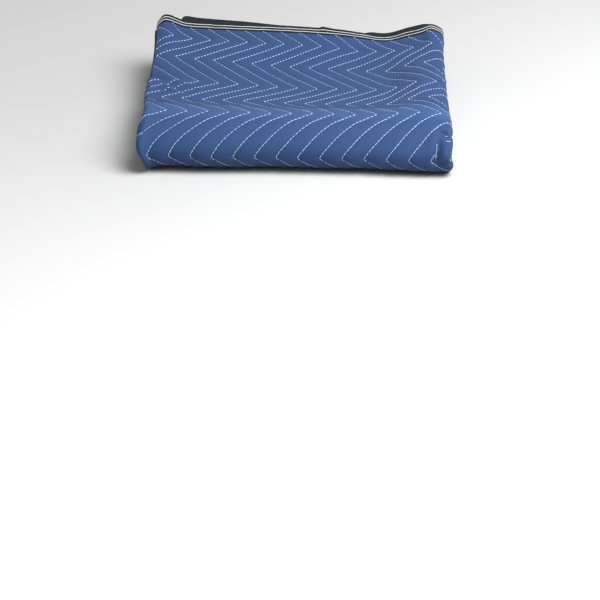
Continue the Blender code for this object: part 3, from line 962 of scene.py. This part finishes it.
# %% Shape the tape
TAPE_MID = PRESSED / 2 + GAP + TAPE / 2
TAPE_BEND = math.pi / 2 * TAPE_MID
TAPE_REACH = TAPE_BEND + TAPE_WIDTH - TAPE_MID
TAPE_ROWS = (8.3 * MM, 15.4 * MM)
TAPE_STEP = 4 * MM
BEND_LINES = 5
TAPE_FLAT = (2.6, 4.6, 6.4, 7.4, 8.3, 9.2, 10.4, 12.2, 13.6, 14.5, 15.4, 16.3, 17.6, 19.2)
ROW_REACH = 1.3 * MM
ROW_DIP = 0.22
HEM_EASE = 2 * MM
PUCKER_HIGH, PUCKER_LONG = 0.10, 2.1 * MM
RIPPLE_HIGH, RIPPLE_LONG = 0.12, 17 * MM
NICK_AT = 29 * MM
NICK_STEEP = 4 * MM
NICK_GENTLE = 14 * MM
NICK_HIGH = 2.0 * MM


def tape_columns():
    """The lines across the tape, as lengths from the middle of the bend to both sides."""
    flat = [TAPE_BEND + depth * MM - TAPE_MID for depth in TAPE_FLAT]
    half = [*np.linspace(0.0, TAPE_BEND, BEND_LINES), *flat, TAPE_REACH]
    return sorted({*half, *[-length for length in half[1:]]})


def dense(lines, step):
    """The same lines with more between them, so that none are further apart than step."""
    out = [lines[0]]
    for low, high in zip(lines, lines[1:]):
        out += list(np.linspace(low, high, math.ceil((high - low) / step) + 1)[1:])
    return out


def tape_shape(across, along, out, shown):
    """Depth from the edge and height, for points of the strip."""
    depth = TAPE_MID + np.abs(across) - TAPE_BEND
    row = sum(np.exp(-(((depth - sewn) / ROW_REACH) ** 2)) for sewn in TAPE_ROWS)
    hem = np.clip((TAPE_WIDTH - depth) / HEM_EASE, 0.0, 1.0)
    pucker = PUCKER_HIGH * np.sin(along / PUCKER_LONG + 2 * np.sin(along / (31 * MM)))
    ripple = RIPPLE_HIGH * (np.sin(along / RIPPLE_LONG) + np.sin(along / (41 * MM) + 1.3))
    out = out + shown * MM * (pucker * hem * (1 - row) - ROW_DIP * row + ripple * hem)
    angle = np.clip(across / TAPE_MID, -math.pi / 2, math.pi / 2)
    bent = np.abs(across) < TAPE_BEND
    deep = np.where(bent, TAPE_MID - (TAPE_MID + out) * np.cos(angle), depth)
    high = np.where(bent, (TAPE_MID + out) * np.sin(angle), np.sign(across) * (TAPE_MID + out))
    return deep, high


def nick(u, depth):
    """A pucker where the sewing drew up the tape's outer edge: steep on the left."""
    off = u - SHOWN_MIDDLE - NICK_AT
    reach = np.where(off < 0, NICK_STEEP, NICK_GENTLE)
    return NICK_HIGH * np.exp(-((off / reach) ** 2)) * np.clip(1 - depth / TAPE_ROWS[1], 0.0, 1.0)


print("lines across the tape:", len(tape_columns()))

# %% [markdown]
# Every length is made by the same function. It is told which edge it covers, and turns the
# place on the strip into a place on the flat blanket, which is then folded like the cloth.

# %% Make a length of tape
trim = TAPE_WIDTH + GAP


def make_tape(name, node, lines, along_u, far):
    """One length of tape on an edge: along_u runs across the blanket, far is its far edge."""
    bm = flat_grid(tape_columns(), dense(lines, TAPE_STEP), TAPE / 2)
    bmesh.ops.solidify(bm, geom=bm.faces[:], thickness=TAPE)
    total = LENGTH if along_u else WIDTH

    def place(across, along, out):
        shown = np.zeros_like(along)
        if along_u and not far:
            shown = ((along > SHOWN_FROM) & (along < SHOWN_TO) & (across > 0)).astype(float)
        deep, high = tape_shape(across, along, out, shown)
        high = high + nick(along, deep) * (along_u and not far)
        deep = total - deep if far else deep
        u, v = (along, deep) if along_u else (deep, along)
        return folded(u, v, high)

    def chart(across, along, out):
        return np.stack((0.5 + across / UV_SPAN, along / UV_SPAN), axis=1)

    piece = place_mesh(bm, name, place, chart)
    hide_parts(node)
    return piece


print("the side tapes stop short of the corners by mm:", round(trim / MM, 1))

# %% [markdown]
# The two end tapes run the whole width. The side tapes stop where the end tapes begin, so
# that no two lengths lie in each other at the corners.

# %% Sew the four tapes on
end_lines = [0.0, *u_lines[1:-1], WIDTH]
between = [line for line in v_lines if trim + CLEAR < line < LENGTH - trim - CLEAR]
side_lines = [trim, *between, LENGTH - trim]
tapes = [
    make_tape("tape_top_edge", "binding_top_edge", end_lines, True, False),
    make_tape("tape_inner_edge", "binding_inner_edge", end_lines, True, True),
    make_tape("tape_side_a", "binding_side_a", side_lines, False, False),
    make_tape("tape_side_b", "binding_side_b", side_lines, False, True),
]
for tape in tapes:
    print(tape.name, triangles(tape), "triangles")

# %% [markdown]
# The tape's own thread is a dense pale chain, so its stitches nearly touch. It is made from
# the same spindle as the quilting, shorter and wider, and follows the tape over the nick.

# %% Sew the tape's two rows
CHAIN = 2.4 * MM
CHAIN_SIZE = (3.0 * MM, 1.15 * MM, 0.7 * MM)
CHAIN_SWAY = 0.25 * MM
CHAIN_SWAY_LONG = 5 * MM
CHAIN_JITTER = 0.08 * MM
CHAIN_SINK = 0.05 * MM

chain_u = np.arange(SHOWN_FROM, SHOWN_TO, CHAIN)
chain_u, chain_row = (grid.ravel() for grid in np.meshgrid(chain_u, TAPE_ROWS))
local = SPINDLE[None, :, :] * np.array(CHAIN_SIZE)
sway = CHAIN_SWAY * np.sin(chain_u / CHAIN_SWAY_LONG + chain_row / MM)
sway = sway + rng.normal(0.0, CHAIN_JITTER, len(chain_u))
u_points = chain_u[:, None] + local[..., 0]
v_points = (chain_row + sway)[:, None] + local[..., 1]
w_points = TAPE_MID + TAPE / 2 - CHAIN_SINK + local[..., 2] + nick(u_points, v_points)
chain = repeat_spindle("tape_thread", folded_points(u_points, v_points, w_points))
print("chain stitches:", len(chain_u), "triangles:", triangles(chain))

# %% [markdown]
# ## Shader tools
# Two small classes keep the materials short. `Signal` wraps a socket, so that a mask can be
# written as plain sums. `Finish` wraps a material and adds any other node in one call.

# %% Wrap a socket
class Signal:
    """A socket carrying one number; each operator adds its Math node."""

    def __init__(self, finish, socket):
        self.finish = finish
        self.socket = socket

    def math(self, operation, *values):
        return self.finish.node("ShaderNodeMath", {"operation": operation}, dict(enumerate(values)))

    def __add__(self, other):
        return self.math("ADD", self, other)

    def __sub__(self, other):
        return self.math("SUBTRACT", self, other)

    def __rsub__(self, other):
        return self.math("SUBTRACT", other, self)

    def __mul__(self, other):
        return self.math("MULTIPLY", self, other)

    def __truediv__(self, other):
        return self.math("DIVIDE", self, other)

    __radd__ = __add__
    __rmul__ = __mul__

    def absolute(self):
        return self.math("ABSOLUTE", self)

    def power(self, other):
        return self.math("POWER", self, other)

    def sine(self):
        return self.math("SINE", self)

    def clamped(self):
        return self.math("MINIMUM", self.math("MAXIMUM", self, 0.0), 1.0)


print("Signal knows:", [name for name in vars(Signal) if not name.startswith("_")])

# %% [markdown]
# A value that is the same all over a piece is set on the shader's own socket. Only what
# changes over the surface comes in through nodes: the colour, and a bump for the relief
# that is too fine to model.

# %% Wrap a material
SPECULAR = 0.25


class Finish:
    """A material with a Principled shader; `node` adds one node and gives its output."""

    def __init__(self, name, roughness, sheen):
        self.material = bpy.data.materials.new(name)
        self.material.use_nodes = True
        self.tree = self.material.node_tree
        self.shader = self.tree.nodes["Principled BSDF"]
        self.shader.inputs["Roughness"].default_value = roughness
        self.shader.inputs["Sheen Weight"].default_value = sheen
        self.shader.inputs["Specular IOR Level"].default_value = SPECULAR

    def set(self, socket, value):
        if isinstance(value, Signal):
            self.tree.links.new(value.socket, socket)
        else:
            socket.default_value = value

    def node(self, kind, settings, inputs, output=0):
        added = self.tree.nodes.new(kind)
        for name, value in settings.items():
            setattr(added, name, value)
        for name, value in inputs.items():
            self.set(added.inputs[name], value)
        return Signal(self, added.outputs[output])

    def chart(self, scale):
        """The piece's own UV map, in steps of 1 / scale of the whole chart."""
        flat = self.node("ShaderNodeUVMap", {"uv_map": "flat"}, {})
        return self.node("ShaderNodeVectorMath", {"operation": "SCALE"}, {0: flat, "Scale": scale})

    def axis(self, vector, name):
        return self.node("ShaderNodeSeparateXYZ", {}, {0: vector}, output=name)

    def noise(self, vector, scale, detail=2.0):
        inputs = {"Vector": vector, "Scale": scale, "Detail": detail}
        return self.node("ShaderNodeTexNoise", {}, inputs)

    def mix(self, factor, low, high):
        """Mix two colours: the node's colour sockets are its inputs 6 and 7 and its output 2."""
        return self.node("ShaderNodeMix", {"data_type": "RGBA"}, {0: factor, 6: low, 7: high}, 2)

    def bump(self, height, distance):
        inputs = {"Height": height, "Distance": distance, "Strength": 1.0}
        return self.node("ShaderNodeBump", {}, inputs)

    def use(self, name, value):
        self.set(self.shader.inputs[name], value)


print("Finish knows:", [name for name in vars(Finish) if not name.startswith("_")])

# %% [markdown]
# ## The cloth's finish
# The cover is a plain weave of cotton and polyester: matt, with a trace of fuzz. The weave
# is two sets of sine ridges in millimetres on the flat blanket, so it follows every fold.
# Larger noise makes the blue uneven, as dyed cloth is. Along the crest of the roll the blue
# is painted paler, painted light, and on the roll's underside it is painted darker, painted
# shade. Both are bands across the flat blanket, so they are read from the same chart.

# %% Finish the cloth
THREADS_A_MM = 1.3
BLUE = (0.031, 0.072, 0.198, 1.0)
BLUE_DEEP = (0.026, 0.061, 0.172, 1.0)
BLUE_PALE = (0.043, 0.092, 0.230, 1.0)
# Painted light: the paler blue along the crest of the roll.
BLUE_PAINTED_LIGHT = (0.050, 0.108, 0.266, 1.0)
# Painted shade: the darker blue on the roll's underside.
BLUE_PAINTED_SHADE = (0.013, 0.031, 0.096, 1.0)
CLOUD_SCALE, CLOUD_GAIN, CLOUD_FLOOR = 0.022, 1.6, 0.3
FLECK_SCALE, FLECK_GAIN, FLECK_SHARE = 0.35, 1.5, 0.6
SLUB_SCALE = 0.9
WEAVE_SHARE = 0.18
WEAVE_RISE, SLUB_RISE, WEAVE_HIGH = 0.6, 0.8, 0.12 * MM
PAINTED_LIGHT_AT, PAINTED_LIGHT_REACH, PAINTED_LIGHT_SHARE = 442.0, 34.0, 0.7
PAINTED_SHADE_FROM, PAINTED_SHADE_RISE, PAINTED_SHADE_SHARE = 480.0, 70.0, 0.95
PAINTED_SHADE_POWER = 1.6

cover = Finish("woven_blue_cover", roughness=0.85, sheen=0.05)
flat_mm = cover.chart(UV_SPAN / MM)
along = cover.axis(flat_mm, "X")
down = cover.axis(flat_mm, "Y")
warp = (along * (2 * math.pi * THREADS_A_MM)).sine()
weft = (down * (2 * math.pi * THREADS_A_MM)).sine()
slub = cover.noise(flat_mm, SLUB_SCALE, 3.0)
weave = warp * weft * 0.5 + 0.5
cloud = cover.noise(flat_mm, CLOUD_SCALE, 3.0)
fleck = cover.noise(flat_mm, FLECK_SCALE, 4.0)
base = cover.mix((cloud * CLOUD_GAIN - CLOUD_FLOOR).clamped(), BLUE_DEEP, BLUE)
base = cover.mix(((fleck - 0.5) * FLECK_GAIN).clamped() * FLECK_SHARE, base, BLUE_PALE)
base = cover.mix(weave * WEAVE_SHARE, base, BLUE_PALE)
# Painted light: the blue is made paler along the crest of the roll.
painted_light_from_crest = (down - PAINTED_LIGHT_AT) / PAINTED_LIGHT_REACH
base = cover.mix((1.0 - painted_light_from_crest * painted_light_from_crest).clamped() * PAINTED_LIGHT_SHARE, base, BLUE_PAINTED_LIGHT)
# Painted shade: the blue is made darker on the roll's underside.
painted_shade_under_roll = ((down - PAINTED_SHADE_FROM) / PAINTED_SHADE_RISE).clamped().power(PAINTED_SHADE_POWER)
base = cover.mix(painted_shade_under_roll * PAINTED_SHADE_SHARE, base, BLUE_PAINTED_SHADE)
cover.use("Base Color", base)
cover.use("Normal", cover.bump(weave * WEAVE_RISE + slub * SLUB_RISE, WEAVE_HIGH))
cloth.data.materials.append(cover.material)
print(cover.material.name, "has", len(cover.tree.nodes), "nodes")

# %% [markdown]
# ## The threads' finish
# Spun polyester thread is pale and a little glossy. The quilting's fine yarn picks up some
# blue from the cloth, and the tape's thicker chain stays nearly white. One function makes
# both: a soft noise shifts the colour from stitch to stitch, and a fine one is the fibre.

# %% Finish the threads
THREAD_SHEEN = 0.1
FIBRE_SCALE = 2600.0
FIBRE_HIGH = 0.1 * MM
THREAD_PALE = (0.58, 0.78, 1.0, 1.0)
THREAD_SHADE = (0.46, 0.64, 0.94, 1.0)
CHAIN_PALE = (1.0, 1.0, 1.0, 1.0)
CHAIN_SHADE = (0.90, 0.94, 0.95, 1.0)


def finish_thread(piece, name, roughness, scale, shade, pale):
    """Give a piece of spun thread its material."""
    yarn = Finish(name, roughness, THREAD_SHEEN)
    place = yarn.node("ShaderNodeTexCoord", {}, {}, output="Object")
    yarn.use("Base Color", yarn.mix(yarn.noise(place, scale), shade, pale))
    yarn.use("Normal", yarn.bump(yarn.noise(place, FIBRE_SCALE), FIBRE_HIGH))
    piece.data.materials.append(yarn.material)
    print(name, "has", len(yarn.tree.nodes), "nodes")


finish_thread(thread, "pale_quilting_yarn", 0.6, 220.0, THREAD_SHADE, THREAD_PALE)
finish_thread(chain, "pale_tape_thread", 0.55, 160.0, CHAIN_SHADE, CHAIN_PALE)

# %% [markdown]
# ## The tape's finish
# The tape is charcoal with a fine rib along it. Under its stitches it carries a faint pale
# line, since the same seams show on every length and on both faces, and only the shown ones
# are made of real stitches.

# %% Finish the tape
CHARCOAL = (0.010, 0.014, 0.018, 1.0)
CHARCOAL_WORN = (0.023, 0.029, 0.034, 1.0)
STITCH_GREY = (0.50, 0.56, 0.57, 1.0)
RIB = 1.1
RIB_WANDER, WANDER_TIGHT = 0.8, 5.0
RIB_HIGH, WEAR_RISE = 0.15 * MM, 0.6
WEAR_SCALE, WEAR_GAIN, WEAR_FLOOR = 0.12, 1.4, 0.4
SEWN_SHARPNESS = 1.7
SEWN_SHARE = 0.3

band = Finish("charcoal_tape_rib", roughness=0.85, sheen=0.02)
strip_mm = band.chart(UV_SPAN / MM)
side_mm = (band.axis(strip_mm, "X") - 0.5 * UV_SPAN / MM).absolute()
depth_mm = side_mm + (TAPE_MID - TAPE_BEND) / MM
length_mm = band.axis(strip_mm, "Y")
wander = (side_mm * WANDER_TIGHT).sine() * RIB_WANDER
ribs = (length_mm * (2 * math.pi / RIB) + wander).sine() * 0.5 + 0.5
wear = band.noise(strip_mm, WEAR_SCALE, 3.0)
dark = band.mix((wear * WEAR_GAIN - WEAR_FLOOR).clamped(), CHARCOAL, CHARCOAL_WORN)
sewn = 0.0
for row in TAPE_ROWS:
    off = (depth_mm - row / MM).absolute()
    sewn = sewn + (1.0 - off * SEWN_SHARPNESS).clamped()
dashes = ((length_mm * (2 * math.pi / (CHAIN / MM))).sine() * 0.5 + 0.5).power(0.5)
band.use("Base Color", band.mix(sewn * dashes * SEWN_SHARE, dark, STITCH_GREY))
band.use("Normal", band.bump(ribs * (1 - sewn) + wear * WEAR_RISE, RIB_HIGH))
for tape in tapes:
    tape.data.materials.append(band.material)
print("materials:", [item.name for item in bpy.data.materials])

# %% [markdown]
# ## Floor and light
# A wide paper floor, a white world for soft light from everywhere, and one large soft lamp
# from the front right. The lamp gives the quilting its shade and leaves the roll's underside
# darker, and painted shade in the cloth's colour darkens it further. The paper is painted
# greyer under and around the blanket than far away, painted shade that also lets less light
# bounce up under the roll.

# %% Lay the floor
FLOOR_REACH = 6.0
# Painted shade: the grey of the paper under and around the blanket.
FLOOR_PAINTED_SHADE = (0.66, 0.66, 0.66, 1.0)
FLOOR_FAR = (0.95, 0.95, 0.95, 1.0)
FLOOR_SHADE_REACH = 0.4
FLOOR_SHADE_FADE = 1.4

floor_bm = bmesh.new()
bmesh.ops.create_grid(floor_bm, x_segments=8, y_segments=8, size=FLOOR_REACH)
floor_mesh = bpy.data.meshes.new("studio_floor")
floor_bm.to_mesh(floor_mesh)
floor_bm.free()
floor = add_object("studio_floor", floor_mesh)
paper = Finish("white_studio_paper", roughness=0.9, sheen=0.0)
place = paper.node("ShaderNodeTexCoord", {}, {}, output="Object")
distance = paper.node("ShaderNodeVectorMath", {"operation": "LENGTH"}, {0: place}, "Value")
# Painted shade: the paper is greyer under and around the blanket than far away.
near = 1.0 - ((distance - FLOOR_SHADE_REACH) / FLOOR_SHADE_FADE).clamped()
paper.use("Base Color", paper.mix(near, FLOOR_FAR, FLOOR_PAINTED_SHADE))
floor.data.materials.append(paper.material)
floor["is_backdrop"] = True
print("floor:", 2 * FLOOR_REACH, "m square")

# %% [markdown]
# The world lights every side a little, so no shadow is black. The lamp is large and near,
# which keeps the edges of its shadows soft, and it is turned to face the blanket's middle.

# %% Light the blanket
ROOM_COLOUR = (1.0, 1.0, 1.0, 1.0)
ROOM_LIGHT = 0.30
LAMP_PLACE = (0.98, -0.80, 1.75)
LAMP_SIZE = 1.6
LAMP_POWER = 73.0

world = bpy.data.worlds.new("white_room")
world.use_nodes = True
background = world.node_tree.nodes["Background"]
background.inputs["Color"].default_value = ROOM_COLOUR
background.inputs["Strength"].default_value = ROOM_LIGHT
bpy.context.scene.world = world
bpy.context.scene.view_settings.view_transform = "Standard"

light = bpy.data.lights.new("front_lamp", "AREA")
light.size = LAMP_SIZE
light.energy = LAMP_POWER
lamp = add_object("front_lamp", light)
lamp.location = LAMP_PLACE
lamp.rotation_mode = "QUATERNION"
lamp.rotation_quaternion = (-Vector(LAMP_PLACE)).to_track_quat("-Z", "Y")
print("lights:", [item.name for item in bpy.data.lights])

# %% [markdown]
# ## The size of the dressed model
# The blanket is one sheet of cloth, folded, with its thread and tape on it. Its flat size is
# the size it was cut to, before the quilting drew it in a little. The last lines print the
# size of the dressed model.

low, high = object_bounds()
print("visual size in mm:", [round(side / MM, 1) for side in high - low])
